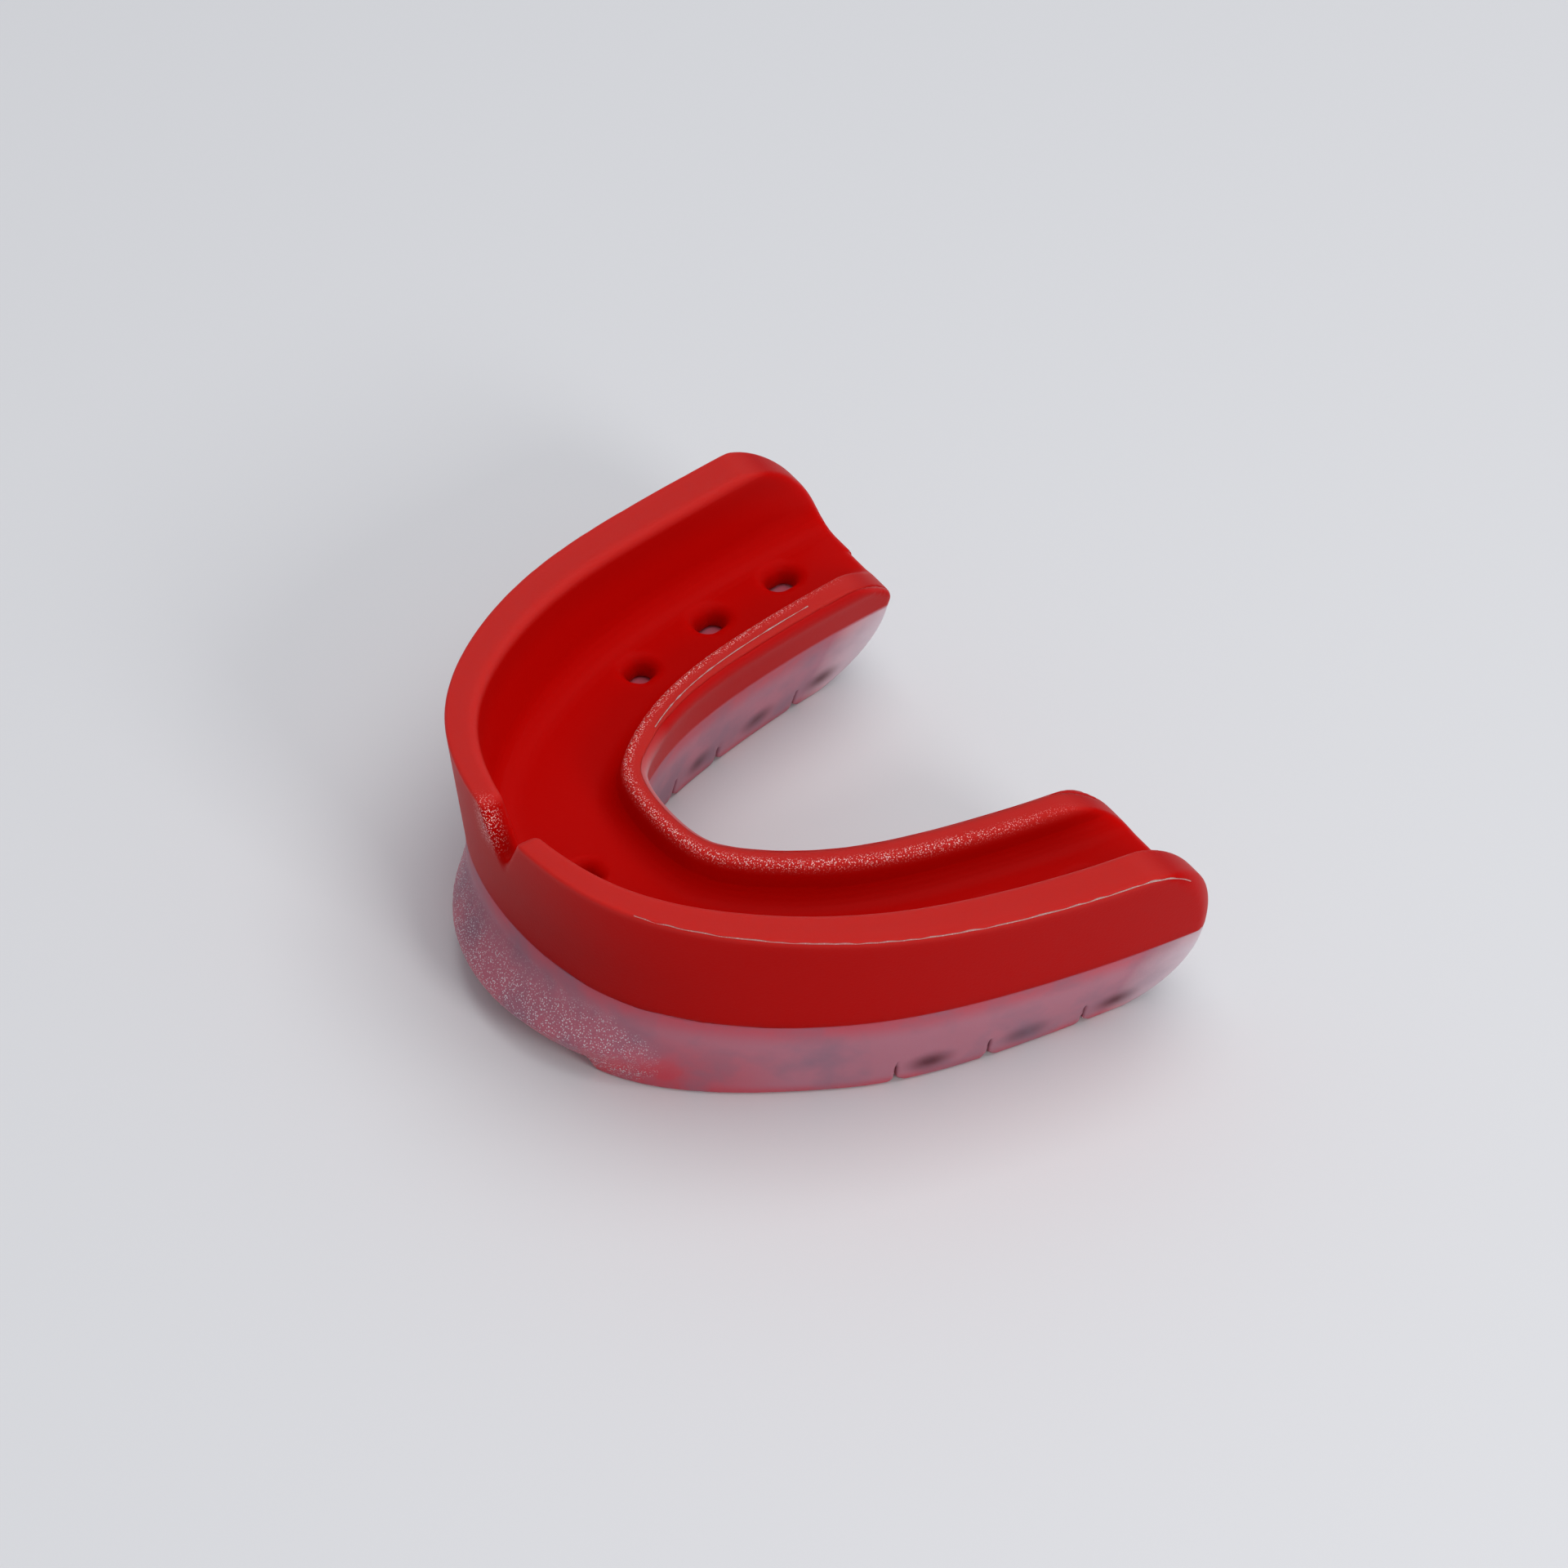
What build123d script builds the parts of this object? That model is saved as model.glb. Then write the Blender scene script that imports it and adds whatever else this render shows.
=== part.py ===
from build123d import *

import math
import os

# Two-layer boil-and-bite mouthguard: a red upper channel bonded into a clear base.
#
# While it is built, the underside of the base lies on z = 0, +Z is up towards the upper teeth,
# the front of the arch faces -Y and its rim starts at y = 0, and the object is symmetric about
# x = 0. At the end both pieces move along Y, so that the origin is the middle of the footprint.
# All sizes are in millimetres.

# ---------------------------------------------------------------- driving dimensions
arm_length = 46.0           # front of the rim to the rear ends, along Y
arch_overrun = 2.0          # the lofts run past the rear ends, which are then cut to shape
arch_half = [(0, 0), (12, 2.7), (20, 10.2), (24.8, 19), (27.8, 30), (29.9, arm_length + arch_overrun)]
station_count = 25

rim_height_front, rim_height_rear = 19.8, 17.4
rim_width_front, rim_width_rear = 1.8, 3.5
wall_lean = 1.3             # how far the inner wall leans in between rim and floor
floor_thickness = 2.0
lip_height_front, lip_height_rear = 14.0, 13.1
lip_floor_side = 13.5       # inward distance from the rim's outer edge to the lip's near side
lip_tongue_front, lip_tongue_rear = 15.4, 16.2      # and to its far side, towards the tongue
seam_height_front, seam_height_rear = 8.8, 8.3
seam_inset_front, seam_inset_rear = 1.1, 1.5        # the outer face leans in going down

foot_inset_front, foot_inset_rear = 1.1, 2.9        # outer lower edge of the base
foot_tongue_front, foot_tongue_rear = 12.8, 12.2    # lower edge on the tongue side
heel_taper = 1.2            # extra narrowing of the underside towards the heels
skin_thickness = 0.6        # clear skin that climbs the tongue side of the lip
skin_gap_to_lip_top = 0.7
seam_step = 0.06            # the clear base sits this far inside the red edge
underside_allowance = 0.5   # the base is lofted from this far below its underside, then cut flat

shelf_bulge = 2.0           # how far the front shelf swells beyond the plain outer face
shelf_length = 19.0         # distance along the arch at which the shelf has died out
shelf_waist, shelf_belly = 0.8, 0.45    # heights of its hollow and its crest, times the seam's
shelf_recess_width, shelf_recess_depth, shelf_recess_height = 18.0, 3.4, 2.0

heel_radius, crown_radius = 7.3, 9.0    # upsweep of the underside, rounding of the wall's end
lip_end_length, lip_end_drop = 6.5, 3.5   # how the lips curve down to the rear ends
lip_end_half_span = 20.0    # the lips end within this distance of the middle plane

notch_half_width, notch_depth, notch_root_radius = 2.4, 4.3, 0.5

hole_length, hole_width, hole_mouth_depth = 3.0, 2.3, 0.5
hole_inset, front_hole_inset = 8.3, 7.6     # from the rim's outer edge
hole_positions = [35.7, 45, 53.2]   # along the rim from its front middle

groove_mouth, groove_depth = 1.2, 2.6
groove_places = [(17.7, 22.2, 15), (19.4, 28.5, 3), (20.5, 36.9, 7)]    # x, y, degrees off X

# ---------------------------------------------------------------- arch and its section planes
arch_points = [(-x, y) for x, y in reversed(arch_half[1:])] + arch_half
with BuildLine() as arch_builder:
    Spline(*arch_points)
arch = arch_builder.wire()
half_length = arch.length / 2


def section_plane(distance):
    """Upright plane square to the arch, at a signed distance along it from the front middle.

    Its local X runs inwards, towards the tongue, and its local Y runs up.
    """
    fraction = 0.5 + distance / arch.length
    tangent = arch % fraction
    return Plane(origin=arch @ fraction, x_dir=Vector(0, 0, 1).cross(tangent), z_dir=tangent)


def blend(front, rear, distance, start=0.0, end=58.0):
    """Ease a size from its front value to its rear value along one arm."""
    share = min(max((distance - start) / (end - start), 0), 1)
    return front + (rear - front) * share * share * (3 - 2 * share)


class Station:
    """Heights and inward distances of the section at one place along an arm."""

    def __init__(self, distance):
        self.rim = blend(rim_height_front, rim_height_rear, distance, 4, 52)
        widening = math.sin(math.pi / 2 * min(distance / 50, 1))
        self.rim_width = rim_width_front + (rim_width_rear - rim_width_front) * widening
        self.seam = blend(seam_height_front, seam_height_rear, distance, 0, 30)
        self.floor = self.seam + floor_thickness
        self.seam_inset = blend(seam_inset_front, seam_inset_rear, distance, 0, 30)
        self.lip = blend(lip_height_front, lip_height_rear, distance)
        self.lip_tongue = blend(lip_tongue_front, lip_tongue_rear, distance)
        taper = blend(0, heel_taper, distance, 30)
        self.foot = blend(foot_inset_front, foot_inset_rear, distance, 4, 30) + taper
        self.foot_tongue = blend(foot_tongue_front, foot_tongue_rear, distance, 35)
        self.bulge = blend(shelf_bulge, 0, distance, 0, shelf_length)

    def outer_base(self, height):
        """Inset of the base's plain outer face, without the shelf."""
        return self.foot + (self.seam_inset - self.foot) * height / self.seam

    def tongue_face(self, height):
        """Inward distance of the sloping face on the tongue side."""
        return self.foot_tongue + (self.lip_tongue - self.foot_tongue) * height / self.lip


def channel_section(at):
    """Closed outline of the red channel: rim, wall, floor, lip, then back under the floor."""
    corners = [
        (0, at.rim),
        (at.rim_width, at.rim + 0.1),
        (at.rim_width + wall_lean, at.floor),
        (lip_floor_side - 1.0, at.floor),
        (lip_floor_side, at.lip),
        (at.tongue_face(at.lip) - skin_thickness, at.lip - 0.1),
        (at.tongue_face(at.seam) - skin_thickness, at.seam),
        (at.seam_inset, at.seam),
    ]
    radii = [0.35, 0.9, 1.8, 1.4, 0.7, 0.6, 0.3, 0.1]
    FilletPolyline(*corners, radius=radii, close=True)


def base_section(at):
    """Closed outline of the clear base, its top running on inside the red channel."""
    skin_top = at.lip - skin_gap_to_lip_top
    belly_height = shelf_belly * at.seam
    waist_height = shelf_waist * at.seam
    foot = (at.outer_base(-underside_allowance), -underside_allowance)
    foot_tongue = (at.tongue_face(-underside_allowance), -underside_allowance)
    belly = (at.outer_base(belly_height) - at.bulge, belly_height)
    waist = (at.outer_base(waist_height) + seam_step, waist_height)
    shoulder = (at.seam_inset + seam_step, at.seam + 0.4)
    inner_corner = (at.tongue_face(at.seam) - 2.0, at.seam + 0.8)
    skin_edge = (at.tongue_face(skin_top), skin_top)
    skin_back = (skin_edge[0] - 1.1, skin_top)
    Spline(foot, belly, waist, shoulder)
    Polyline(shoulder, inner_corner, skin_back, skin_edge, foot_tongue, foot)


def sections_along_arch(draw_section):
    """One closed sketch on every station of the arch, ready to be lofted."""
    sections = []
    for number in range(station_count):
        distance = half_length * (2 * number / (station_count - 1) - 1)
        with BuildSketch(section_plane(distance)) as section:
            with BuildLine():
                draw_section(Station(abs(distance)))
            make_face()
        sections.append(section.sketch)
    return sections


# ---------------------------------------------------------------- cutting tools
# Side view of the whole piece: flat underside, upswept heels, rounded ends of the walls.
above_rim = rim_height_front + 3
crown = rim_height_rear + 0.1
heel_start, crown_start = arm_length - heel_radius, arm_length - crown_radius
with BuildPart() as side_envelope:
    with BuildSketch(Plane.YZ):
        with BuildLine():
            Polyline((heel_start, 0), (-6, 0), (-6, above_rim), (crown_start, above_rim))
            Line((crown_start, above_rim), (crown_start, crown))
            RadiusArc((crown_start, crown), (arm_length, crown - crown_radius), crown_radius)
            Line((arm_length, crown - crown_radius), (arm_length, heel_radius))
            RadiusArc((arm_length, heel_radius), (heel_start, 0), heel_radius)
        make_face()
    extrude(amount=40, both=True)

# Rounding at the rear end of each lip, taken off between the two arms' floors.
lip_end_start = arm_length - lip_end_length
lip_end_radius = (lip_end_length**2 + lip_end_drop**2) / (2 * lip_end_drop)
with BuildPart() as lip_ends:
    with BuildSketch(Plane.YZ):
        with BuildLine():
            low = lip_height_rear - lip_end_drop
            RadiusArc((lip_end_start, lip_height_rear), (arm_length, low), lip_end_radius)
            Polyline(
                (arm_length, low),
                (arm_length + 1, low),
                (arm_length + 1, above_rim),
                (lip_end_start, above_rim),
                (lip_end_start, lip_height_rear),
            )
        make_face()
    extrude(amount=lip_end_half_span, both=True)

# Relief for the fold of skin behind the upper lip: a V across the front of the rim.
notch_top = rim_height_front + 2
notch_top_half_width = notch_half_width * (notch_depth + 2) / notch_depth
with BuildPart() as lip_notch:
    with BuildSketch(Plane.XZ):
        with BuildLine():
            left = (-notch_top_half_width, notch_top)
            right = (notch_top_half_width, notch_top)
            root = (0, rim_height_front - notch_depth)
            FilletPolyline(left, root, right, radius=notch_root_radius)
            Line(right, left)
        make_face()
    extrude(amount=6, both=True)

# Flex grooves square to each arm: a V across the underside.
with BuildPart() as flex_grooves:
    for x, y, tilt in groove_places:
        across = Vector(1, 0, 0).rotate(Axis.Z, -tilt)
        along = Vector(0, 0, 1).cross(across)
        with BuildSketch(Plane(origin=(x, y, 0), x_dir=along, z_dir=across)):
            with BuildLine():
                front_edge, rear_edge = (-0.4 * groove_mouth, -0.2), (0.6 * groove_mouth, -0.2)
                Polyline(front_edge, (0, groove_depth), rear_edge, close=True)
            make_face()
        extrude(amount=9, both=True)
    mirror(about=Plane.YZ)

# Breathing holes through the floor of the channel: one at the front and three along each arm.
with BuildPart() as floor_holes:
    for distance in [0, *hole_positions, *[-position for position in hole_positions]]:
        section = section_plane(distance)
        centre = section.origin + section.x_dir * (hole_inset if distance else front_hole_inset)
        mouth_bottom = Station(abs(distance)).floor - hole_mouth_depth
        origin = (centre.X, centre.Y, mouth_bottom)
        with BuildSketch(Plane(origin=origin, x_dir=section.z_dir, z_dir=(0, 0, 1))):
            SlotOverall(hole_length, hole_width)
        extrude(amount=-floor_thickness)
        with BuildSketch(Plane(origin=origin, x_dir=section.z_dir, z_dir=(0, 0, 1))):
            SlotOverall(hole_length, hole_width)
        extrude(amount=2 * hole_mouth_depth, taper=-45)

# ---------------------------------------------------------------- the two pieces
with BuildPart() as channel_blank:
    loft(sections_along_arch(channel_section))
    add(side_envelope.part, mode=Mode.INTERSECT)
    add(lip_ends.part, mode=Mode.SUBTRACT)

with BuildPart() as upper_channel:
    add(channel_blank.part)
    add(floor_holes.part, mode=Mode.SUBTRACT)
    add(lip_notch.part, mode=Mode.SUBTRACT)

base_sections = sections_along_arch(base_section)
with BuildPart() as clear_base:
    loft(base_sections)
    add(side_envelope.part, mode=Mode.INTERSECT)
    add(lip_ends.part, mode=Mode.SUBTRACT)
    add(channel_blank.part, mode=Mode.SUBTRACT)
    add(flex_grooves.part, mode=Mode.SUBTRACT)
    with BuildSketch():
        Rectangle(shelf_recess_width, 2 * shelf_recess_depth)
    extrude(amount=shelf_recess_height, mode=Mode.SUBTRACT)

# ---------------------------------------------------------------- placing and writing
front_of_shelf = base_sections[station_count // 2].bounding_box().min.Y
to_footprint_middle = Location((0, -(front_of_shelf + arm_length) / 2, 0))
upper_channel.part = upper_channel.part.moved(to_footprint_middle)
clear_base.part = clear_base.part.moved(to_footprint_middle)
upper_channel.part.label = "upper_channel"
clear_base.part.label = "clear_base"

os.makedirs("parts", exist_ok=True)
export_step(upper_channel.part, "parts/upper_channel.step")
export_step(clear_base.part, "parts/clear_base.step")
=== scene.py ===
import math
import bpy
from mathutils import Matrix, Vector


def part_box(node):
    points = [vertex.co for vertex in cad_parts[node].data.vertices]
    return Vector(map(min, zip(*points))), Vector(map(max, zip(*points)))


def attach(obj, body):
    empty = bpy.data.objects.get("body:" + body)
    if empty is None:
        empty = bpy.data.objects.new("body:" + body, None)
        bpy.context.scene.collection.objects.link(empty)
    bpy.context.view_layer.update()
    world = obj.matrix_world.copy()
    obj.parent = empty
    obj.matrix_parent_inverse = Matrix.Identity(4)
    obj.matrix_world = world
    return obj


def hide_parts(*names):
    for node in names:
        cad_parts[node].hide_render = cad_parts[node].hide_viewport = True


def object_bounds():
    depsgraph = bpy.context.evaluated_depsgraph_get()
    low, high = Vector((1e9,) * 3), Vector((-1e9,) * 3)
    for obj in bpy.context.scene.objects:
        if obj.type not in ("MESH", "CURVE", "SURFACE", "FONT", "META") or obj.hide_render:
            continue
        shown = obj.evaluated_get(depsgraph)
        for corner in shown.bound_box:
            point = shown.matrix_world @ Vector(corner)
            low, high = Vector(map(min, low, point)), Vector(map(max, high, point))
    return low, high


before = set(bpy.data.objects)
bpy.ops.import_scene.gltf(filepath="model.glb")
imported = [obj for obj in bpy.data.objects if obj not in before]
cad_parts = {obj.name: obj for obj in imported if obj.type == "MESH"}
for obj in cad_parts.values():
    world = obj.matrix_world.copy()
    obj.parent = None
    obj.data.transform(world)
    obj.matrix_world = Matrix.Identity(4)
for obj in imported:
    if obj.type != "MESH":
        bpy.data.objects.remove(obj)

from concurrent.futures import ThreadPoolExecutor

import bpy
import numpy as np
from mathutils import Matrix, Vector

# The visual model of a two-layer mouthguard, in millimetres until each mesh is written.
#
# Both layers are carved from one solid that is described by distance fields. A point is given
# by a, its signed distance along the outer edge of the rim from the front middle; s, its inward
# distance from that edge, towards the tongue; and z, its height. The fields are sampled on a grid
# in (a, s, z), meshed, and each vertex is then moved onto the exact surface.

CAD_LOW, CAD_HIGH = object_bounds()
METRE = 0.001

# ---------------------------------------------------------------- driving dimensions
ARM_LENGTH = 46.0
REAR_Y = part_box("upper_channel")[1].y / METRE
FRONT_Y = REAR_Y - ARM_LENGTH
ARCH_HALF = [(0, 0), (12, 2.7), (20, 10.2), (24.8, 19), (27.8, 30), (29.9, 48)]

RIM_FRONT, RIM_REAR = 19.8, 17.4
RIM_WIDTH_FRONT, RIM_WIDTH_REAR = 1.8, 3.5
WALL_LEAN = 1.3
FLOOR_THICKNESS = 2.0
LIP_FRONT, LIP_REAR = 14.0, 13.1
LIP_FLOOR_SIDE = 13.5
LIP_TONGUE_FRONT, LIP_TONGUE_REAR = 15.4, 16.2
SEAM_FRONT, SEAM_REAR = 8.8, 8.3
SEAM_INSET_FRONT, SEAM_INSET_REAR = 1.1, 1.5
FOOT_FRONT, FOOT_REAR, HEEL_TAPER = 1.1, 2.9, 1.2
FOOT_TONGUE_FRONT, FOOT_TONGUE_REAR = 12.8, 12.2
SKIN = 0.6
OVERLAP = 0.08              # the clear layer runs this far into the red one, so no air is between

SHELF_CREASE_FRONT, SHELF_CREASE_REAR = 7.0, 6.1
SHELF_CREST = 3.7
SHELF_SWELL, SHELF_LENGTH = 2.9, 20.0
RECESS_HALF_WIDTH, RECESS_DEPTH, RECESS_HEIGHT = 9.0, 3.4, 2.0

HEEL_RADIUS, CROWN_RADIUS = 7.3, 8.4
END_RADIUS, END_RADIUS_ADDED, END_ADDED_REACH = 0.8, 2.8, 4.0   # more rounding at the outer wall
LIP_END_LENGTH, LIP_END_DROP = 6.5, 3.5
NOTCH_HALF_WIDTH, NOTCH_DEPTH, NOTCH_ROOT = 2.1, 4.1, 0.5
HOLE_PLACES = [(0, 7.6), (35.7, 8.3), (45, 8.3), (53.2, 8.3)]           # along the arch, inset
HOLE_HALF_STRETCH, HOLE_RADIUS, HOLE_MOUTH = 0.45, 1.25, 0.75
HOLE_NARROWING = 0.33       # what the radius loses in each millimetre down
GROOVE_PLACES = [(17.7, 22.2, 15), (19.4, 28.5, 3), (20.5, 36.9, 7)]    # x, y, degrees off X
GROOVE_DISTANCES = [35.0, 43.2, 51.2]                                   # their ends, along the arch
GROOVE_MOUTH, GROOVE_MOUTH_DEPTH, GROOVE_SLIT, GROOVE_DEPTH = 1.35, 0.75, 0.09, 2.6
GROOVE_FRONT_SHARE, GROOVE_REAR_SHARE = 0.4, 0.6            # of the mouth's width
NOTCH_EDGE, SEAM_EDGE, GROOVE_EDGE, RECESS_EDGE = 0.5, 0.06, 0.12, 0.15
ARC_STEPS = 5               # straight steps in each rounded corner of an outline


# ---------------------------------------------------------------- the arch
def cubic_through(knots, values, at):
    """C2 cubic spline through the knots, with parabolic ends, evaluated at many places."""
    count = len(knots)
    gaps = np.diff(knots)
    rise = np.diff(values, axis=0) / gaps[:, None]
    matrix = np.zeros((count, count))
    right = np.zeros((count, values.shape[1]))
    for i in range(1, count - 1):
        matrix[i, i - 1:i + 2] = gaps[i], 2 * (gaps[i - 1] + gaps[i]), gaps[i - 1]
        right[i] = 3 * (gaps[i] * rise[i - 1] + gaps[i - 1] * rise[i])
    matrix[0, :2] = 1, 1
    right[0] = 2 * rise[0]
    matrix[-1, -2:] = 1, 1
    right[-1] = 2 * rise[-1]
    slopes = np.linalg.solve(matrix, right)
    span = np.clip(np.searchsorted(knots, at) - 1, 0, count - 2)
    gap = gaps[span][:, None]
    t = ((at - knots[span])[:, None]) / gap
    return (
        values[span] * (1 + 2 * t) * (1 - t) ** 2
        + gap * slopes[span] * t * (1 - t) ** 2
        + values[span + 1] * t * t * (3 - 2 * t)
        + gap * slopes[span + 1] * t * t * (t - 1)
    )


points = np.array([(-x, y) for x, y in reversed(ARCH_HALF[1:])] + ARCH_HALF, float)
chords = np.concatenate([[0], np.cumsum(np.hypot(*np.diff(points, axis=0).T))])
ARCH_LINE = cubic_through(chords, points, np.linspace(0, chords[-1], 6001))
ARCH_LINE[:, 1] += FRONT_Y
ARCH_LENGTHS = np.concatenate([[0], np.cumsum(np.hypot(*np.diff(ARCH_LINE, axis=0).T))])
ARCH_LENGTHS -= ARCH_LENGTHS[-1] / 2
HALF_LENGTH = ARCH_LENGTHS[-1]
ARCH_TANGENTS = np.gradient(ARCH_LINE, ARCH_LENGTHS, axis=0)


def plan(a, s):
    """World x and y, in millimetres, of points a along the arch and s inwards from it."""
    x = np.interp(a, ARCH_LENGTHS, ARCH_LINE[:, 0])
    y = np.interp(a, ARCH_LENGTHS, ARCH_LINE[:, 1])
    tangent_x = np.interp(a, ARCH_LENGTHS, ARCH_TANGENTS[:, 0])
    tangent_y = np.interp(a, ARCH_LENGTHS, ARCH_TANGENTS[:, 1])
    return x - tangent_y * s, y + tangent_x * s


# ---------------------------------------------------------------- section outlines
def ease(front, rear, distance, start=0.0, end=58.0):
    """Ease a size from its front value to its rear value along one arm."""
    share = np.clip((distance - start) / (end - start), 0, 1)
    return front + (rear - front) * share * share * (3 - 2 * share)


def rounded_outlines(corners, radii):
    """Closed outlines with rounded corners. corners is [station, corner, 2]."""
    back = np.roll(corners, 1, axis=1) - corners
    ahead = np.roll(corners, -1, axis=1) - corners
    back /= np.linalg.norm(back, axis=2, keepdims=True)
    ahead /= np.linalg.norm(ahead, axis=2, keepdims=True)
    half_angle = np.arccos(np.clip((back * ahead).sum(2), -0.999999, 0.999999)) / 2
    reach = (np.array(radii) / np.tan(half_angle))[..., None]
    middle = back + ahead
    middle /= np.maximum(np.linalg.norm(middle, axis=2, keepdims=True), 1e-9)
    centre = corners + middle * (np.array(radii) / np.sin(half_angle))[..., None]
    first = corners + back * reach - centre
    last = corners + ahead * reach - centre
    turn = np.pi - 2 * half_angle
    parts = []
    for step in range(ARC_STEPS + 1):
        share = step / ARC_STEPS
        weight_first = (np.sin((1 - share) * turn) / np.sin(turn))[..., None]
        weight_last = (np.sin(share * turn) / np.sin(turn))[..., None]
        parts.append(centre + first * weight_first + last * weight_last)
    outlines = np.stack(parts, axis=2)
    return outlines.reshape(len(corners), -1, 2).astype(np.float32)


class Sizes:
    """Heights and insets of the section at distances d from the front, along one arm."""

    def __init__(self, d):
        self.rim = ease(RIM_FRONT, RIM_REAR, d, 4, 52)
        widening = np.sin(np.pi / 2 * np.clip(d / 50, 0, 1))
        self.rim_width = RIM_WIDTH_FRONT + (RIM_WIDTH_REAR - RIM_WIDTH_FRONT) * widening
        self.seam = ease(SEAM_FRONT, SEAM_REAR, d, 0, 30)
        self.floor = self.seam + FLOOR_THICKNESS
        self.seam_inset = ease(SEAM_INSET_FRONT, SEAM_INSET_REAR, d, 0, 30)
        self.lip = ease(LIP_FRONT, LIP_REAR, d)
        self.lip_tongue = ease(LIP_TONGUE_FRONT, LIP_TONGUE_REAR, d)
        self.foot = ease(FOOT_FRONT, FOOT_REAR, d, 4, 30) + ease(0, HEEL_TAPER, d, 30)
        self.foot_tongue = ease(FOOT_TONGUE_FRONT, FOOT_TONGUE_REAR, d, 35)
        self.crease = ease(SHELF_CREASE_FRONT, SHELF_CREASE_REAR, d, 0, 13)
        self.swell = ease(SHELF_SWELL, 0, d, 0, SHELF_LENGTH)

    def outer_base(self, height):
        return self.foot + (self.seam_inset - self.foot) * height / self.seam

    def tongue_face(self, height):
        return self.foot_tongue + (self.lip_tongue - self.foot_tongue) * height / self.lip


STATIONS = np.linspace(0, HALF_LENGTH, 361)
AT = Sizes(STATIONS)


def outline_table(corners, radii):
    """Rounded outlines for every station, from (inset, height) pairs that may vary by station."""
    columns = [np.stack(np.broadcast_arrays(s, z, STATIONS)[:2], axis=1) for s, z in corners]
    return rounded_outlines(np.stack(columns, axis=1).astype(float), radii)


BODY_OUTLINES = outline_table(
    [
        (AT.foot, 0),
        (AT.outer_base(SHELF_CREST) - AT.swell, SHELF_CREST),
        (AT.outer_base(AT.crease), AT.crease),
        (AT.seam_inset, AT.seam),
        (0, AT.rim),
        (AT.rim_width, AT.rim + 0.1),
        (AT.rim_width + WALL_LEAN, AT.floor),
        (LIP_FLOOR_SIDE - 1.0, AT.floor),
        (LIP_FLOOR_SIDE, AT.lip),
        (AT.lip_tongue, AT.lip - 0.1),
        (AT.foot_tongue, 0),
    ],
    [0.45, 1.1, 0.5, 0.5, 0.2, 0.75, 2.4, 1.9, 0.6, 0.85, 0.45],
)
FAR = 40.0                  # well outside the body
RED_OUTLINES = outline_table(
    [
        (-FAR, AT.seam),
        (AT.tongue_face(AT.seam) - SKIN, AT.seam),
        (AT.lip_tongue - SKIN - 0.05, AT.lip - 0.2),
        (AT.lip_tongue - SKIN - 0.05, FAR),
        (-FAR, FAR),
    ],
    [0.1, 0.5, 0.5, 0.1, 0.1],
)


def outline_distance(outlines, a, s, z):
    """Signed distance to the outline at a, negative inside. a, s and z are flat arrays."""
    place = np.abs(a) / STATIONS[1]
    low = np.clip(place.astype(int), 0, len(STATIONS) - 2)
    share = (place - low).astype(np.float32)[:, None, None]
    start = outlines[low] * (1 - share) + outlines[low + 1] * share
    along = np.roll(start, -1, axis=1) - start
    along_s, along_z = along[..., 0], along[..., 1]
    from_s = s[:, None].astype(np.float32) - start[..., 0]
    from_z = z[:, None].astype(np.float32) - start[..., 1]
    length = np.maximum(along_s * along_s + along_z * along_z, 1e-12)
    t = np.clip((from_s * along_s + from_z * along_z) / length, 0, 1)
    nearest = np.hypot(from_s - t * along_s, from_z - t * along_z).min(axis=1)
    crosses = (from_z < 0) != (from_z < along_z)
    left_of_edge = from_s * along_z < from_z * along_s
    inside = (crosses & (left_of_edge == (along_z > 0))).sum(axis=1) % 2 == 1
    return np.where(inside, -nearest, nearest)


# ---------------------------------------------------------------- joining distance fields
def round_and(first, second, radius):
    """What lies in both fields, with the edge between them rounded to radius."""
    u = np.maximum(first + radius, 0)
    v = np.maximum(second + radius, 0)
    return np.minimum(-radius, np.maximum(first, second)) + np.hypot(u, v)


def end_corner(from_rear, depth, radius, length=None):
    """Distance past an arc that falls from a face, length before the rear end, depth below it."""
    past = from_rear + (radius if length is None else length)
    over = np.maximum(radius - depth - np.maximum(-past, 0), 0)
    return np.hypot(np.maximum(past, 0), over) - radius


def notch_distance(x, z):
    """V notch in the front of the rim, with a rounded root."""
    slope = math.atan2(NOTCH_HALF_WIDTH, NOTCH_DEPTH)
    above_root = z - (RIM_FRONT - NOTCH_DEPTH - NOTCH_ROOT / math.tan(slope))
    return np.hypot(x, NOTCH_ROOT) * math.cos(slope) - above_root * math.sin(slope)


def hole_distance(a, s, z, place, inset, floor):
    """An obround breathing hole, longer along the arch, that narrows going down."""
    along = np.maximum(np.abs(np.abs(a) - place) - HOLE_HALF_STRETCH, 0)
    radius = HOLE_RADIUS - HOLE_NARROWING * np.clip(floor - z, 0, FLOOR_THICKNESS)
    return (np.hypot(along, s - inset) - radius) * 0.95


def groove_distance(x, y, z, place):
    """A flex groove: a V mouth in the underside that narrows to a slit."""
    px, py, tilt = place
    turn = math.radians(tilt)
    forward = (y - FRONT_Y - py) * math.cos(turn) + (np.abs(x) - px) * math.sin(turn)
    share = np.where(forward < 0, GROOVE_FRONT_SHARE, GROOVE_REAR_SHARE)
    mouth = GROOVE_MOUTH * (1 - z / GROOVE_MOUTH_DEPTH) * share
    slit = GROOVE_SLIT * np.clip(1.6 - z / GROOVE_DEPTH, 0.2, 1.6)
    half_width = np.maximum(mouth, slit)
    return np.maximum((np.abs(forward) - half_width) * 0.75, z - GROOVE_DEPTH)


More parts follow.
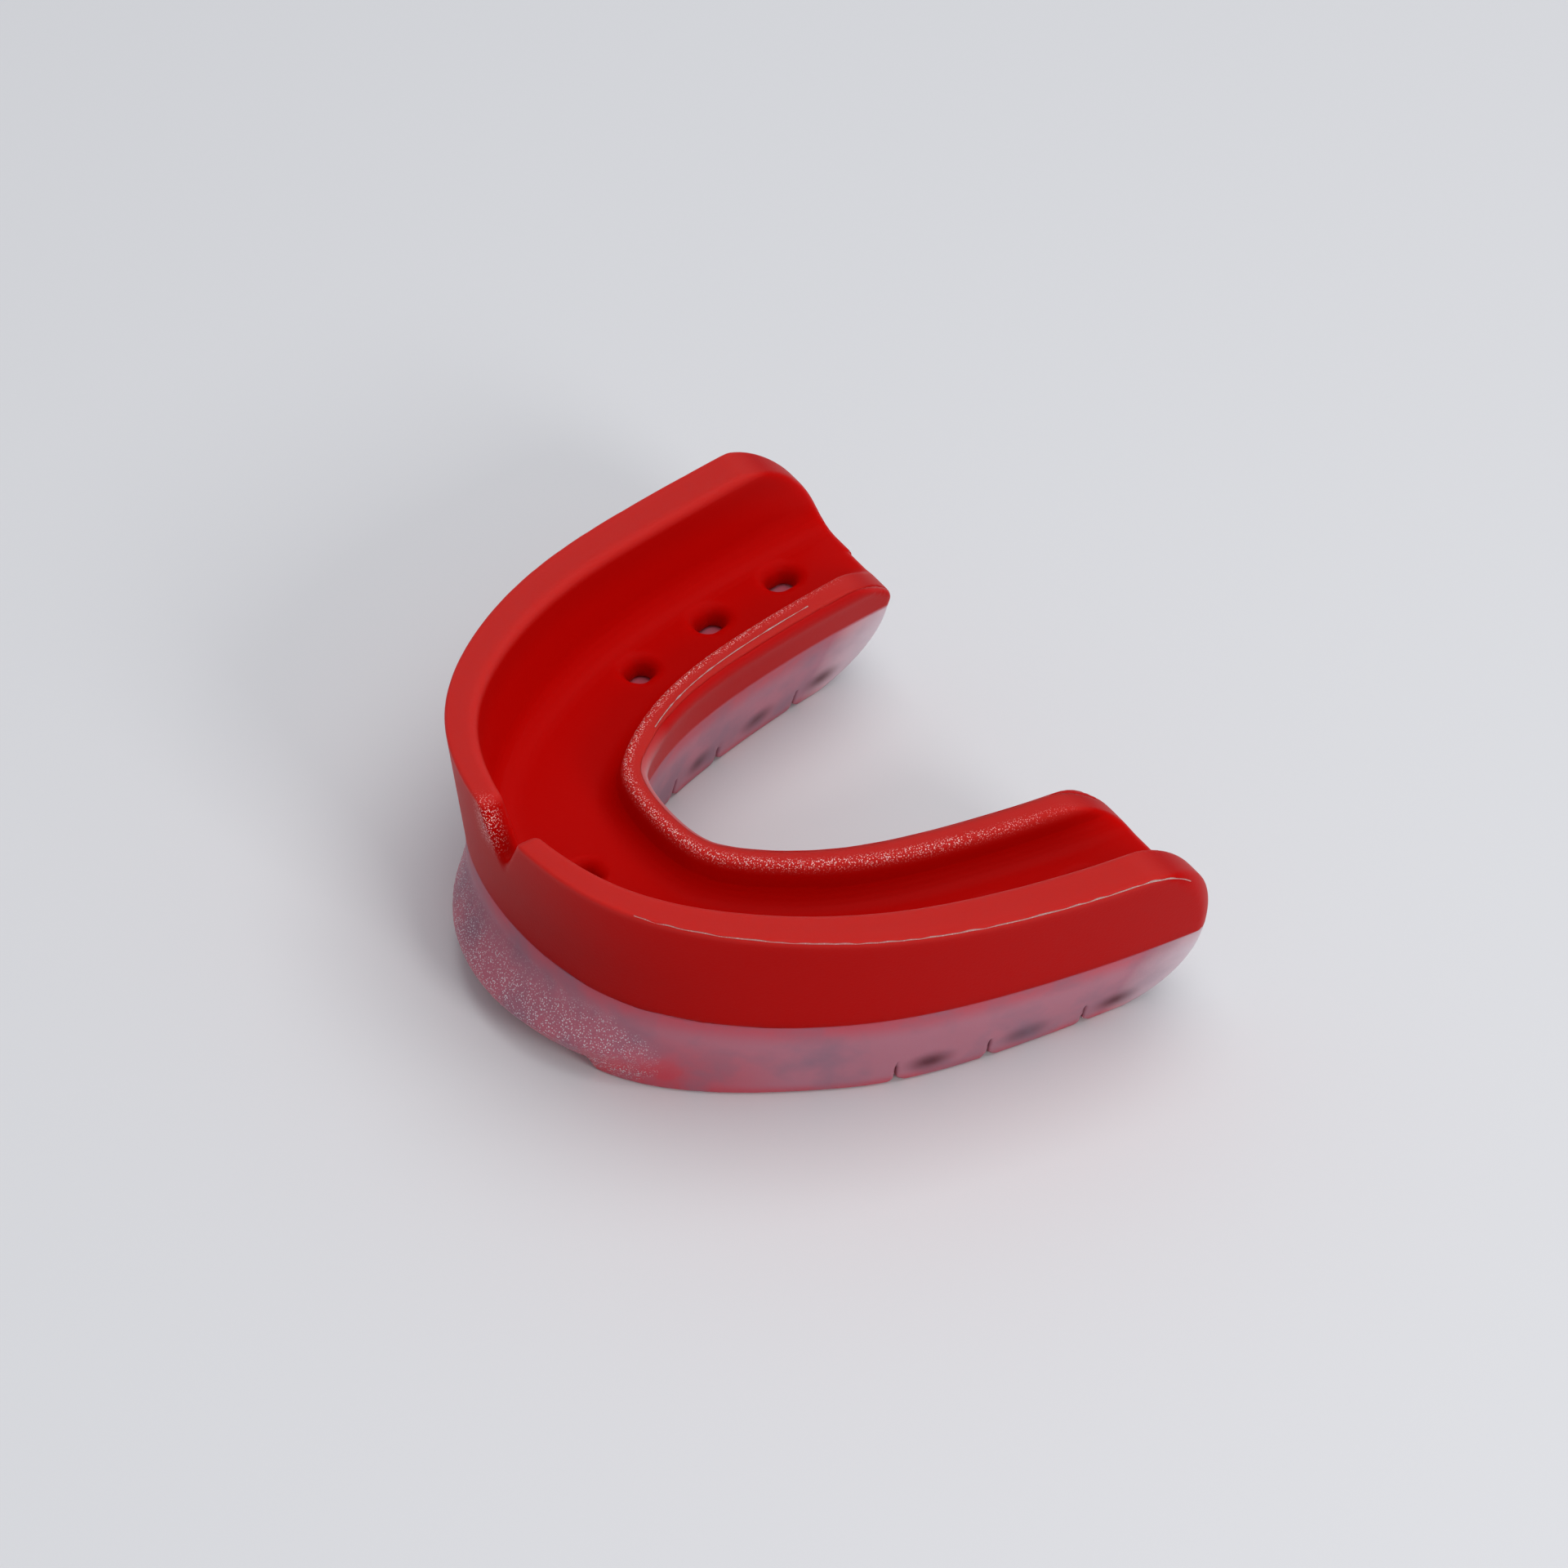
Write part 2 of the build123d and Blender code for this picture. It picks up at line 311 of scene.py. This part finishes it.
def body_distance(a, s, z):
    """The whole guard, both layers together, without holes, and the plan place of each point."""
    x, y = plan(a, s)
    from_rear = y - REAR_Y
    d = outline_distance(BODY_OUTLINES, a, s, z)
    crown = end_corner(from_rear, RIM_REAR + 0.1 - z, CROWN_RADIUS)
    heel = end_corner(from_rear, z, HEEL_RADIUS)
    nearness = np.clip(1 + from_rear / CROWN_RADIUS, 0, 1) ** 2
    end_radius = END_RADIUS + END_RADIUS_ADDED * np.clip(1 - s / END_ADDED_REACH, 0, 1)
    d = round_and(d, np.maximum(crown, heel), end_radius * nearness)
    lip_radius = (LIP_END_LENGTH**2 + LIP_END_DROP**2) / (2 * LIP_END_DROP)
    lip_end = end_corner(from_rear, LIP_REAR - z, lip_radius, LIP_END_LENGTH)
    return np.where(s > 9, round_and(d, lip_end, 0.5 * nearness), d), x, y


def red_distance(a, s, z):
    """The red channel."""
    d, x, y = body_distance(a, s, z)
    near_front = y < FRONT_Y + 8
    d = np.where(near_front, round_and(d, -notch_distance(x, z), NOTCH_EDGE), d)
    d = round_and(d, outline_distance(RED_OUTLINES, a, s, z), SEAM_EDGE)
    for place, inset in HOLE_PLACES:
        near = np.abs(np.abs(a) - place) < 4
        hole = hole_distance(a, s, z, place, inset, Sizes(place).floor)
        d = np.where(near, round_and(d, -hole, HOLE_MOUTH), d)
    return d


def clear_distance(a, s, z):
    """The clear base with its shelf, grooves and the skin on the tongue side of the lip."""
    d, x, y = body_distance(a, s, z)
    d = round_and(d, -outline_distance(RED_OUTLINES, a, s, z) - OVERLAP, SEAM_EDGE)
    for place in GROOVE_PLACES:
        d = round_and(d, -groove_distance(x, y, z, place), GROOVE_EDGE)
    from_front = y - FRONT_Y - RECESS_DEPTH
    recess = np.maximum(np.maximum(np.abs(x) - RECESS_HALF_WIDTH, z - RECESS_HEIGHT), from_front)
    return round_and(d, -recess, RECESS_EDGE)


# ---------------------------------------------------------------- meshing
def grid_lines(low, high, coarse, fine_zones):
    """Grid lines from low to high, coarse apart, and closer in zones of (centre, reach, step)."""
    samples = np.linspace(low, high, 20001)
    step = np.full_like(samples, coarse)
    for centre, reach, fine in fine_zones:
        outside = np.maximum(np.abs(samples - centre) - reach, 0)
        step = np.minimum(step, fine + outside * 0.12)
    count = np.concatenate([[0], np.cumsum(np.diff(samples) / step[1:])])
    return np.interp(np.linspace(0, count[-1], int(count[-1]) + 1), count, samples)


def in_chunks(distance, a, s, z, size=20_000):
    """A distance field at many points, a chunk at a time, on all the processor's cores."""
    parts = [slice(first, first + size) for first in range(0, len(a), size)]
    with ThreadPoolExecutor() as pool:
        values = list(pool.map(lambda part: distance(a[part], s[part], z[part]), parts))
    return np.concatenate(values)


def surface_net(field):
    """Vertices in grid coordinates and quads of the surface where the field is zero."""
    inside = field < 0
    cells = tuple(n - 1 for n in field.shape)
    total = np.zeros(cells + (3,), np.float32)
    hits = np.zeros(cells, np.float32)
    crossings = []
    for axis in range(3):
        low = [slice(None)] * 3
        high = [slice(None)] * 3
        low[axis], high[axis] = slice(None, -1), slice(1, None)
        i, j, k = np.nonzero(inside[tuple(low)] != inside[tuple(high)])
        edge = np.stack([i, j, k], axis=1)
        others = [other for other in range(3) if other != axis]
        limit = np.array([cells[other] for other in others])
        keep = np.all((edge[:, others] > 0) & (edge[:, others] < limit), axis=1)
        edge = edge[keep]
        ahead = edge.copy()
        ahead[:, axis] += 1
        from_value, to_value = field[tuple(edge.T)], field[tuple(ahead.T)]
        place = edge.astype(np.float32)
        place[:, axis] += from_value / (from_value - to_value)
        corners = []
        for back_first, back_second in ((1, 1), (0, 1), (0, 0), (1, 0)):
            cell = edge.copy()
            cell[:, others[0]] -= back_first
            cell[:, others[1]] -= back_second
            corners.append(cell)
            np.add.at(total, tuple(cell.T), place)
            np.add.at(hits, tuple(cell.T), 1)
        crossings.append((axis, corners, inside[tuple(edge.T)]))
    used = hits > 0
    numbers = np.full(cells, -1, np.int64)
    numbers[used] = np.arange(used.sum())
    vertices = total[used] / hits[used][:, None]
    quads = []
    for axis, corners, starts_inside in crossings:
        quad = np.stack([numbers[tuple(cell.T)] for cell in corners], axis=1)
        flip = starts_inside if axis == 1 else ~starts_inside
        quad[flip] = quad[flip][:, ::-1]
        quads.append(quad)
    return vertices, np.concatenate(quads)


def value_and_slope(distance, a, s, z, step=0.02):
    """A distance field and its slope along a, s and z."""
    value = in_chunks(distance, a, s, z)
    slopes = []
    for shift in np.eye(3) * step:
        ahead = in_chunks(distance, a + shift[0], s + shift[1], z + shift[2])
        slopes.append((ahead - value) / step)
    return value, np.stack(slopes, axis=1)


def mesh_of(distance, lines):
    """Vertices in (a, s, z) on the exact surface, with the quads that join them."""
    grid = np.meshgrid(*lines, indexing="ij")
    flat = [axis.ravel() for axis in grid]
    field = in_chunks(distance, *flat).reshape(grid[0].shape)
    places, quads = surface_net(field)
    coordinates = [np.interp(places[:, i], np.arange(len(lines[i])), lines[i]) for i in range(3)]
    vertices = np.stack(coordinates, axis=1)
    for _ in range(2):
        value, slope = value_and_slope(distance, *vertices.T)
        step = value / np.maximum((slope * slope).sum(1), 0.25)
        vertices -= np.clip(step, -0.15, 0.15)[:, None] * slope
    return vertices, quads


def make_piece(name, vertices, quads, attributes, node):
    """A smooth mesh object from points in (a, s, z) that stands for a CAD node."""
    x, y = plan(vertices[:, 0], vertices[:, 1])
    world = np.stack([x, y, vertices[:, 2]], axis=1) * METRE
    mesh = bpy.data.meshes.new(name)
    mesh.from_pydata(world, [], quads)
    mesh.validate()
    mesh.shade_smooth()
    for label, values in attributes.items():
        if values.ndim == 1:
            layer = mesh.attributes.new(label, "FLOAT", "POINT")
            layer.data.foreach_set("value", values.astype(np.float32))
        else:
            layer = mesh.attributes.new(label, "FLOAT_COLOR", "POINT")
            opaque = np.concatenate([values, np.ones((len(values), 1))], axis=1)
            layer.data.foreach_set("color", opaque.astype(np.float32).ravel())
    piece = bpy.data.objects.new(name, mesh)
    bpy.context.scene.collection.objects.link(piece)
    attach(piece, "root")
    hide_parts(node)
    return piece


# ---------------------------------------------------------------- surface zones
def bump_at(value, centre, reach):
    """1 at centre, easing to 0 at reach away from it."""
    share = np.clip(1 - np.abs(value - centre) / reach, 0, 1)
    return share * share * (3 - 2 * share)


def speckle(a, s, z, pitch, seed):
    """Smooth repeatable noise from -1 to 1, with grains about pitch apart."""
    rng = np.random.default_rng(seed)
    total = np.zeros(len(a))
    waves = 14
    for _ in range(waves):
        direction = rng.normal(size=3)
        direction /= np.linalg.norm(direction)
        frequency = 2 * math.pi / pitch * rng.uniform(0.6, 1.5)
        total += np.sin((a * direction[0] + s * direction[1] + z * direction[2]) * frequency
                        + rng.uniform(0, 2 * math.pi))
    return total / math.sqrt(waves)


def add_grain(distance, vertices, amount, pitch, seed):
    """Move vertices along the surface normal by noise, as deep as amount says, in millimetres."""
    _, slope = value_and_slope(distance, *vertices.T, step=0.05)
    slope /= np.maximum(np.linalg.norm(slope, axis=1, keepdims=True), 0.2)
    height = speckle(*vertices.T, pitch, seed) * amount
    vertices += slope * height[:, None]


def toned(base, *layers):
    """A colour for each vertex: base, with each (colour, share of it) laid over it in turn."""
    tone = np.array(base)
    for colour, share in layers:
        tone = tone + (np.array(colour) - tone) * share[:, None]
    return tone


# ---------------------------------------------------------------- the two layers
GRID_END = 62.4             # the grids run past the rear ends, so no mesh is cut open there
RED = (0.44, 0.0012, 0.0005)
# Painted light: the inner walls low in the channel are lightened where shade falls.
RED_INNER_WALL_PAINTED_LIGHT = (0.50, 0.0013, 0.0005)
RED_FRONT_SHADE = (0.33, 0.001, 0.0005)
# Painted sheen: the tops of the rim and lip are lighter, as where the light catches them.
RED_TOPS_PAINTED_SHEEN = (0.54, 0.024, 0.020)
RED_THROUGH_SKIN = (0.46, 0.0012, 0.0005)
PINK = (0.60, 0.23, 0.30)
PINK_FRONT = (0.74, 0.07, 0.10)
PINK_SHELF = (0.58, 0.20, 0.27)
PINK_EDGES = (0.72, 0.06, 0.09)
# Painted glow: the rear heel is near white, standing in for light coming through it from behind.
HEEL_PAINTED_GLOW = (1.0, 0.92, 0.98)
# Painted shade: dark patches behind the grooves.
DARK_PATCH_PAINTED_SHADE = (0.10, 0.015, 0.025)
MILKY = (0.60, 0.36, 0.38)
LINE_RED, LINE_PALE = (0.60, 0.04, 0.035), (0.80, 0.34, 0.33)
LINE_SIDES, LINE_FULL_WIDTH = 6, 0.055


def build_channel():
    """The red upper channel."""
    holes = [(side * place, 1.9, 0.2) for place, _ in HOLE_PLACES for side in (1, -1)]
    ends = [(side * 59.0, 3.5, 0.28) for side in (1, -1)]
    across = [(0.1, 0.5, 0.15), (8.2, 1.9, 0.22), (14.2, 1.8, 0.2), (3.4, 2.0, 0.3)]
    heights = [(10.0, 1.3, 0.22), (13.5, 0.9, 0.18), (18.5, 1.6, 0.2), (8.3, 0.6, 0.18)]
    lines = (
        grid_lines(-GRID_END, GRID_END, 0.55, [*holes, *ends, (0, 3.2, 0.16)]),
        grid_lines(-0.9, 17.2, 0.45, across),
        grid_lines(7.3, 20.5, 0.5, heights),
    )
    vertices, quads = mesh_of(red_distance, lines)
    a, s, z = vertices.T
    size = Sizes(np.abs(a))
    arm = np.clip(1 - (np.abs(a) - 42) / 14, 0, 1)
    lip_edge = bump_at(s, LIP_FLOOR_SIDE + 0.2, 0.6) * bump_at(z, size.lip - 0.15, 0.8) * arm
    notch = bump_at(a, -2.1, 2.2) * bump_at(z, RIM_FRONT - 1.8, 3.0) * bump_at(s, 0.2, 1.6)
    grain = np.maximum(lip_edge, notch)
    # Painted sheen on the tops of the rim and lip.
    on_rim = (s < size.rim_width + 0.8) & (np.abs(a) + z > RIM_FRONT)
    tops = np.maximum(
        bump_at(z, size.rim + 0.05, 0.9) * on_rim,
        bump_at(z, size.lip, 1.1) * (s > LIP_FLOOR_SIDE - 0.6),
    )
    front_shade = bump_at(a, 4, 22) * (s < 1.5) * np.clip((size.rim - 1 - z) / 6, 0, 1)
    # Painted light: lifts the inner walls low in the channel, where shade falls.
    inner_wall_painted_light = ((s > size.rim_width) & (s < 12.9)) * np.clip((size.rim - 1.5 - z) / 2, 0, 1)
    tone = toned(
        RED,
        (RED_INNER_WALL_PAINTED_LIGHT, 0.9 * inner_wall_painted_light),
        (RED_FRONT_SHADE, 0.8 * front_shade),
        (RED_TOPS_PAINTED_SHEEN, tops),
    )
    add_grain(red_distance, vertices, grain * 0.005, pitch=0.35, seed=3)
    attributes = {"grain": grain, "tone": tone}
    return make_piece("red_channel", vertices, quads, attributes, "upper_channel")


def build_base():
    """The clear base."""
    grooves = [(side * (place + 0.3), 1.8, 0.17) for place in GROOVE_DISTANCES for side in (1, -1)]
    ends = [(side * 58.5, 4.0, 0.3) for side in (1, -1)]
    across = [(0.5, 1.5, 0.2), (2.6, 1.2, 0.3), (13.5, 2.0, 0.22), (15.6, 0.8, 0.18)]
    heights = [(0.6, 0.9, 0.2), (2.4, 0.6, 0.2), (8.5, 1.0, 0.18), (13.6, 0.7, 0.2)]
    lines = (
        grid_lines(-GRID_END, GRID_END, 0.6, [*grooves, *ends, (0, 14, 0.28)]),
        grid_lines(-2.5, 17.2, 0.5, across),
        grid_lines(-0.7, 15.0, 0.4, heights),
    )
    vertices, quads = mesh_of(clear_distance, lines)
    a, s, z = vertices.T
    d = np.abs(a)
    size = Sizes(d)
    from_rear = plan(a, s)[1] - REAR_Y
    front = np.clip((19 - d) / 8, 0, 1)
    shelf = front * (s < 1.3) * bump_at(z, 4.6, 3.0)
    stub = front * (s < 1.5) * bump_at(z, 1.6, 1.6)
    grain = np.maximum(shelf * 0.9, stub)
    tongue_side = s > 12
    skin = np.clip((z - size.seam) / 0.5, 0, 1) * tongue_side
    milk = skin * bump_at(z, size.lip - 1.0, 1.4) * np.clip(1.3 - d / 20, 0.03, 0.9)
    outer = np.clip((26 - d) / 10, 0, 1) * (s < 6)
    low_edge = bump_at(z, 0, 1.3)
    high_edge = bump_at(z, size.seam, 2.6) * (1 - skin)
    # Painted glow on the heel, standing in for light coming through it from behind.
    heel = np.clip(1 + (from_rear - 0.25 * z) / 8, 0, 1) ** 0.8 * (1 - skin)
    # Painted shade: a dark patch behind each groove.
    patches = np.zeros(len(a))
    for place in GROOVE_DISTANCES:
        behind = np.hypot((d - place - 2.4) / 2.8, (z - 1.9 - 0.4 * (s > 6)) / 1.6)
        patches = np.maximum(patches, bump_at(behind, 0, 1.0))
    tone = toned(
        PINK,
        (PINK_FRONT, 0.95 * outer * bump_at(z, 1.6, 6.0)),
        (PINK_SHELF, 0.7 * shelf),
        (PINK_EDGES, np.maximum(0.85 * low_edge, 0.7 * high_edge)),
        (HEEL_PAINTED_GLOW, heel),
        (DARK_PATCH_PAINTED_SHADE, 0.9 * patches),
        (RED_THROUGH_SKIN, skin),
        (MILKY, milk),
    )
    add_grain(clear_distance, vertices, grain * 0.015, pitch=0.4, seed=5)
    # Where the base may turn darker in soft random blotches: away from the skin and the heel.
    dark_blotches = (1 - skin) * (1 - heel)
    attributes = {"grain": grain, "skin": skin, "dark_blotches": dark_blotches, "tone": tone}
    return make_piece("frosted_base", vertices, quads, attributes, "clear_base")


def build_line(name, a, s, top, width):
    """A thin raised line on the red layer, along the arch, nearest to inset s and height top."""
    level = np.zeros(len(a))
    wobble = speckle(a, level, level, pitch=1.6, seed=11)
    middle = np.stack(np.broadcast_arrays(a, s, top + 0.03 * wobble), axis=1)
    for _ in range(4):
        value, slope = value_and_slope(red_distance, *middle.T)
        middle -= (value / np.maximum((slope * slope).sum(1), 0.25))[:, None] * slope
    thickness = width * (1 + 0.35 * wobble)
    turn = np.linspace(0, 2 * math.pi, LINE_SIDES, endpoint=False)[:, None]
    across = middle[:, 1] + thickness * np.cos(turn)
    z = middle[:, 2] + thickness * np.sin(turn)
    along = np.broadcast_to(middle[:, 0], across.shape)
    rings = np.stack([along, across, z], axis=2).transpose(1, 0, 2)
    ring = np.arange(len(a) - 1)[:, None] * LINE_SIDES
    first = ring + np.arange(LINE_SIDES)
    second = ring + (np.arange(LINE_SIDES) + 1) % LINE_SIDES
    corners = [first, first + LINE_SIDES, second + LINE_SIDES, second]
    sides = np.stack(corners, axis=2).reshape(-1, 4)
    vertices = rings.reshape(-1, 3)
    strength = np.repeat(np.broadcast_to(width, a.shape) / LINE_FULL_WIDTH, LINE_SIDES)
    tone = toned(LINE_RED, (LINE_PALE, np.clip(strength, 0, 1)))
    attributes = {"grain": 0.5 * strength, "tone": tone}
    return make_piece(name, vertices, sides, attributes, "upper_channel")


def build_rim_line():
    """The line along the outer edge of the rim, stronger towards the rear."""
    a = np.linspace(14, 58.0, 700)
    past = np.maximum(plan(a, 0)[1] - REAR_Y + CROWN_RADIUS, 0)
    top = Sizes(a).rim - CROWN_RADIUS + np.sqrt(CROWN_RADIUS**2 - past**2) - 0.05
    return build_line("rim_line", a, 0.05, top, 0.03 + 0.02 * (a - 14) / 44)


def build_lip_line():
    """The line along the top of one lip."""
    a = np.linspace(-50, -24, 420)
    return build_line("lip_line", a, 14.75, Sizes(-a).lip - 0.055, 0.045)


# ---------------------------------------------------------------- materials
EVA_IOR = 1.48


def new_material(name):
    """A node material, its node tree and the one Principled shader in it."""
    material = bpy.data.materials.new(name)
    material.use_nodes = True
    tree = material.node_tree
    tree.nodes.clear()
    shader = tree.nodes.new("ShaderNodeBsdfPrincipled")
    output = tree.nodes.new("ShaderNodeOutputMaterial")
    tree.links.new(shader.outputs["BSDF"], output.inputs["Surface"])
    return material, tree, shader


def add_node(tree, kind, inputs=None, **settings):
    """A node with its settings, and its inputs set to numbers or linked to sockets."""
    node = tree.nodes.new(kind)
    for key, value in settings.items():
        setattr(node, key, value)
    for key, value in (inputs or {}).items():
        if isinstance(value, bpy.types.NodeSocket):
            tree.links.new(value, node.inputs[key])
        else:
            node.inputs[key].default_value = value
    return node


def position(tree):
    """Object coordinates, in metres."""
    return add_node(tree, "ShaderNodeTexCoord").outputs["Object"]


def noise(tree, scale, detail):
    """A noise pattern whose grains are about 1 / scale metres across."""
    inputs = {"Vector": position(tree), "Scale": scale, "Detail": detail}
    return add_node(tree, "ShaderNodeTexNoise", inputs).outputs["Fac"]


def remap(tree, value, low, high, to_low, to_high):
    """A value taken from one range to another, held inside it."""
    inputs = {"From Min": low, "From Max": high, "To Min": to_low, "To Max": to_high}
    return add_node(tree, "ShaderNodeMapRange", {"Value": value, **inputs}).outputs["Result"]


def dots(tree, scale, low, high):
    """Scattered round dots, 1 in the middle and 0 outside, about 1 / scale metres apart."""
    inputs = {"Vector": position(tree), "Scale": scale}
    distance = add_node(tree, "ShaderNodeTexVoronoi", inputs).outputs["Distance"]
    return remap(tree, distance, low, high, 1.0, 0.0)


def attribute(tree, name, output="Fac"):
    """A number or a colour stored on the mesh's vertices."""
    return add_node(tree, "ShaderNodeAttribute", attribute_name=name).outputs[output]


def maths(tree, operation, first, second):
    """Two values combined."""
    return add_node(tree, "ShaderNodeMath", {0: first, 1: second}, operation=operation).outputs[0]


def mix_colour(tree, share, first, second):
    """Two colours mixed by share."""
    node = add_node(tree, "ShaderNodeMix", data_type="RGBA")
    factor, colour_a, colour_b = node.inputs[0], node.inputs[6], node.inputs[7]
    for socket, value in ((factor, share), (colour_a, first), (colour_b, second)):
        if isinstance(value, bpy.types.NodeSocket):
            tree.links.new(value, socket)
        else:
            socket.default_value = value
    return node.outputs[2]


def bump(tree, height, strength, distance):
    """A bump from a height pattern, distance in metres."""
    inputs = {"Height": height, "Strength": strength, "Distance": distance}
    return add_node(tree, "ShaderNodeBump", inputs).outputs["Normal"]


def set_inputs(shader, values):
    """Set shader sockets to constants."""
    for key, value in values.items():
        shader.inputs[key].default_value = value


def link_painted_glints(tree, shader, colour, fine, beads, painted_glint_colour):
    """Link the colour with painted glints over it, and their bump, to the shader where there is
    grain.
    """
    grain = attribute(tree, "grain")
    glinting = maths(tree, "MULTIPLY", grain, remap(tree, fine, 0.38, 0.5, 0, 1.8))
    glints = maths(tree, "MULTIPLY", beads, glinting)
    tree.links.new(mix_colour(tree, glints, colour, painted_glint_colour), shader.inputs["Base Color"])
    raised = maths(tree, "MULTIPLY", beads, maths(tree, "MULTIPLY", grain, 2.0))
    height = maths(tree, "ADD", fine, raised)
    tree.links.new(bump(tree, height, 0.4, 0.00003), shader.inputs["Normal"])


def red_eva():
    """Satin red EVA: smooth walls, tops lighter by painted sheen, and grain on worn edges with
    painted glints.
    """
    material, tree, shader = new_material("red_eva")
    tone = attribute(tree, "tone", "Color")
    fine = noise(tree, 5200, 2)
    beads = dots(tree, 7500, 0.2, 0.42)
    # Painted glints: pale dots laid over the colour where there is grain.
    link_painted_glints(tree, shader, tone, fine, beads, (1.0, 0.62, 0.60, 1))
    roughness = remap(tree, attribute(tree, "grain"), 0, 1, 0.42, 0.25)
    tree.links.new(roughness, shader.inputs["Roughness"])
    set_inputs(shader, {
        "IOR": EVA_IOR,
        "Specular IOR Level": 0.07,
        "Specular Tint": (1.0, 0.3, 0.3, 1),
        "Subsurface Weight": 0.6,
        "Subsurface Radius": (1.0, 0.08, 0.05),
        "Subsurface Scale": 0.0025,
    })
    return material


def clear_eva():
    """Frosted clear EVA: darker in soft random blotches, with grain on the front shelf and painted
    glints over it.
    """
    material, tree, shader = new_material("clear_eva")
    tone = attribute(tree, "tone", "Color")
    # Darker in soft random blotches, as the mesh's share allows.
    clouds = remap(tree, noise(tree, 230, 3), 0.42, 0.68, 0, 0.6)
    dark_blotches = maths(tree, "MULTIPLY", attribute(tree, "dark_blotches"), clouds)
    cloudy = mix_colour(tree, dark_blotches, tone, (0.30, 0.20, 0.27, 1))
    fine = noise(tree, 4200, 2)
    beads = dots(tree, 6500, 0.15, 0.4)
    # Painted glints: pale dots laid over the colour where there is grain.
    link_painted_glints(tree, shader, cloudy, fine, beads, (0.95, 0.85, 0.9, 1))
    roughness = remap(tree, attribute(tree, "grain"), 0, 1, 0.34, 0.22)
    tree.links.new(roughness, shader.inputs["Roughness"])
    clearness = remap(tree, attribute(tree, "skin"), 0, 1, 0.3, 0.0)
    tree.links.new(clearness, shader.inputs["Transmission Weight"])
    set_inputs(shader, {
        "IOR": EVA_IOR,
        "Specular IOR Level": 0.04,
        "Specular Tint": (1.0, 0.7, 0.75, 1),
        "Subsurface Weight": 0.4,
        "Subsurface Radius": (1.0, 0.6, 0.6),
        "Subsurface Scale": 0.001,
    })
    return material


# ---------------------------------------------------------------- floor, light and camera
FLOOR_GAP = 0.00002         # metres under the guard
LIGHT_TARGET = Vector((0, 0, 0.01))
CAMERA_AZIMUTH, CAMERA_ELEVATION, CAMERA_ROLL = (math.radians(v) for v in (55.73, 43.31, 1.05))
CAMERA_DISTANCE, CAMERA_LENS, CAMERA_SENSOR = 0.4078, 121.8, 36.0
CAMERA_TARGET = Vector((0, 0.0033, 0.0009))     # from the middle of the guard's box


def build_floor():
    """A plain pale floor under the guard."""
    bpy.ops.mesh.primitive_plane_add(size=4.0, location=(0, 0, CAD_LOW.z - FLOOR_GAP))
    floor = bpy.context.object
    floor.name = "floor"
    material, _, shader = new_material("pale_floor")
    set_inputs(shader, {"Base Color": (0.78, 0.78, 0.79, 1), "Roughness": 0.6})
    floor.data.materials.append(material)


def area_light(name, place, size, watts):
    """A soft square light aimed at the guard."""
    light = bpy.data.lights.new(name, "AREA")
    light.shape = "SQUARE"
    light.size = size
    light.energy = watts
    lamp = bpy.data.objects.new(name, light)
    lamp.location = place
    lamp.rotation_euler = (LIGHT_TARGET - Vector(place)).to_track_quat("-Z", "Y").to_euler()
    bpy.context.scene.collection.objects.link(lamp)


def build_lights():
    """A large soft box overhead, a small key light from the right, and a pale surround."""
    area_light("overhead", (0.05, 0.15, 0.65), 0.6, 2.1)
    area_light("key", (0.6, 0.05, 0.32), 0.2, 1.3)
    world = bpy.data.worlds.new("surround")
    world.use_nodes = True
    background = world.node_tree.nodes["Background"]
    set_inputs(background, {"Color": (0.9, 0.93, 1.0, 1), "Strength": 0.44})
    bpy.context.scene.world = world
    bpy.context.scene.view_settings.view_transform = "Standard"


def build_camera():
    """A long lens above the front right of the guard."""
    target = (CAD_LOW + CAD_HIGH) / 2 + CAMERA_TARGET
    back = Vector((
        math.sin(CAMERA_AZIMUTH) * math.cos(CAMERA_ELEVATION),
        -math.cos(CAMERA_AZIMUTH) * math.cos(CAMERA_ELEVATION),
        math.sin(CAMERA_ELEVATION),
    ))
    data = bpy.data.cameras.new("camera")
    data.lens = CAMERA_LENS
    data.sensor_width = CAMERA_SENSOR
    data.clip_start, data.clip_end = 0.01, 20
    camera = bpy.data.objects.new("camera", data)
    level = (-back).to_track_quat("-Z", "Y").to_matrix()
    turn = level @ Matrix.Rotation(CAMERA_ROLL, 3, "Z")
    place = Matrix.Translation(target + back * CAMERA_DISTANCE)
    camera.matrix_world = place @ turn.to_4x4()
    bpy.context.scene.collection.objects.link(camera)
    bpy.context.scene.camera = camera


red = red_eva()
for piece in (build_channel(), build_rim_line(), build_lip_line()):
    piece.data.materials.append(red)
build_base().data.materials.append(clear_eva())
build_floor()
build_lights()
build_camera()
